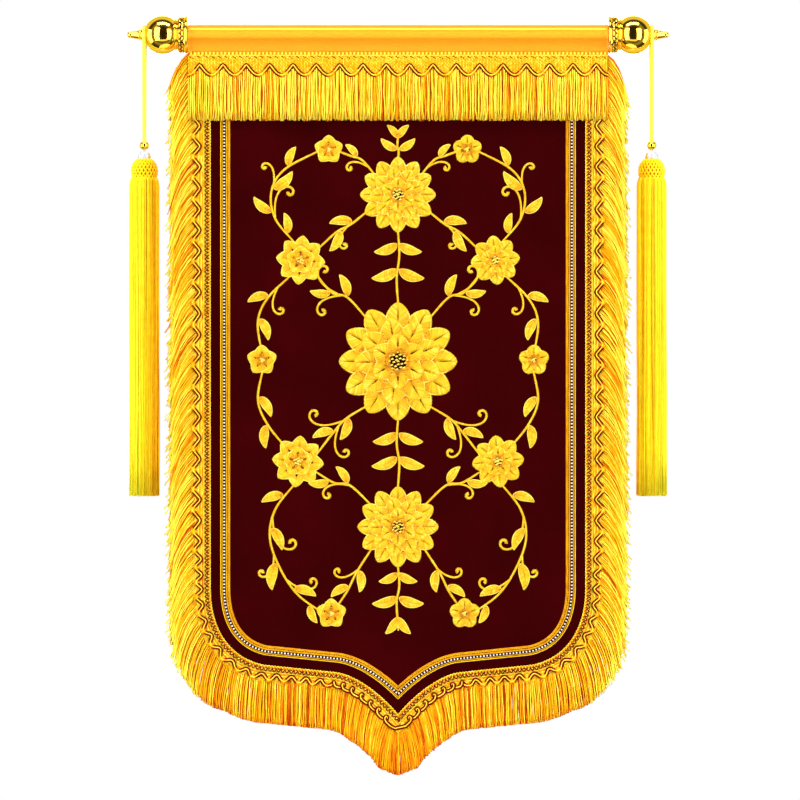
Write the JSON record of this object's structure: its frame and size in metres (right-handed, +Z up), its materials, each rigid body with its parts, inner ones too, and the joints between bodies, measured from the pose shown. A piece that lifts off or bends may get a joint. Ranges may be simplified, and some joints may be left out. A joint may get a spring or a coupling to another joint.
{
  "type": "embroidered honor banner with hanging rod",
  "caption": "Maroon velvet award banner with a pointed foot, gold embroidery, fringe all round, a top valance, a satin-covered rod with gold finials, and long side tassels.",
  "frame": {"origin": "middle of the rod's axis, where the banner hangs", "axes": "+X along the rod to the banner's right as seen from the front, -Y out of the banner's front, +Z up"},
  "size_m": [0.8128, 0.0562, 1.1367],
  "materials": {
    "velvet": "short dense pile, dark maroon, deep soft sheen",
    "gold_fringe": "glossy twisted rayon thread, golden yellow to orange",
    "gold_braid": "flat metallic-thread braid, deep gold",
    "gold_stitch": "raised satin stitch in metallic gold thread",
    "satin": "smooth golden satin with a soft lengthwise highlight",
    "lemon_silk": "bright lemon-yellow silky thread",
    "polished_gold": "polished gold plating with an embossed collar",
    "pearl_white": "glossy white imitation pearl",
    "rod_metal": "plain tube, hidden by the sleeve"
  },
  "bodies": {
    "root": {"rod": "rod_metal", "rod_sleeve": "satin", "panel": "velvet", "edge_fringe": "gold_fringe", "edge_scroll_cord": "gold_fringe", "inner_braid": "gold_braid", "valance_fringe": "gold_fringe", "valance_scroll_cord": "gold_fringe", "finial_left": "polished_gold", "cord_left": "lemon_silk", "bead_left": "polished_gold", "pearl_left": "pearl_white", "tassel_left": "lemon_silk", "finial_right": "polished_gold", "cord_right": "lemon_silk", "bead_right": "polished_gold", "pearl_right": "pearl_white", "tassel_right": "lemon_silk"}
  },
  "joints": []
}
